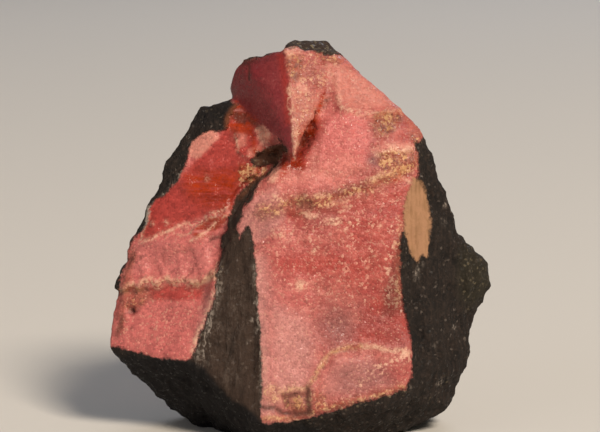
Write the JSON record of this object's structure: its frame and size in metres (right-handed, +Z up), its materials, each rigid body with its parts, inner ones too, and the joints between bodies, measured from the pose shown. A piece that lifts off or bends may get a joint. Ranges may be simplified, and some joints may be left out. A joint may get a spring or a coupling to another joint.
{
  "type": "pyroxmangite specimen",
  "caption": "Upright rough-broken stone with pink granular faces, a black-brown crust on its old joint faces, an overhanging knob and a cleft, standing on a flat broken base.",
  "frame": {"origin": "middle of the floor of the stone's bounding box, on the plane it stands on", "axes": "+Z up, the broken pink faces towards -Y, the dark fluted flank with its nub towards +X"},
  "size_m": [0.08, 0.051, 0.0815],
  "materials": {
    "stone": "broken granular pink face, with matt black-brown crust on the sides and base"
  },
  "bodies": {
    "root": {"pyroxmangite_stone": "stone"}
  },
  "joints": []
}
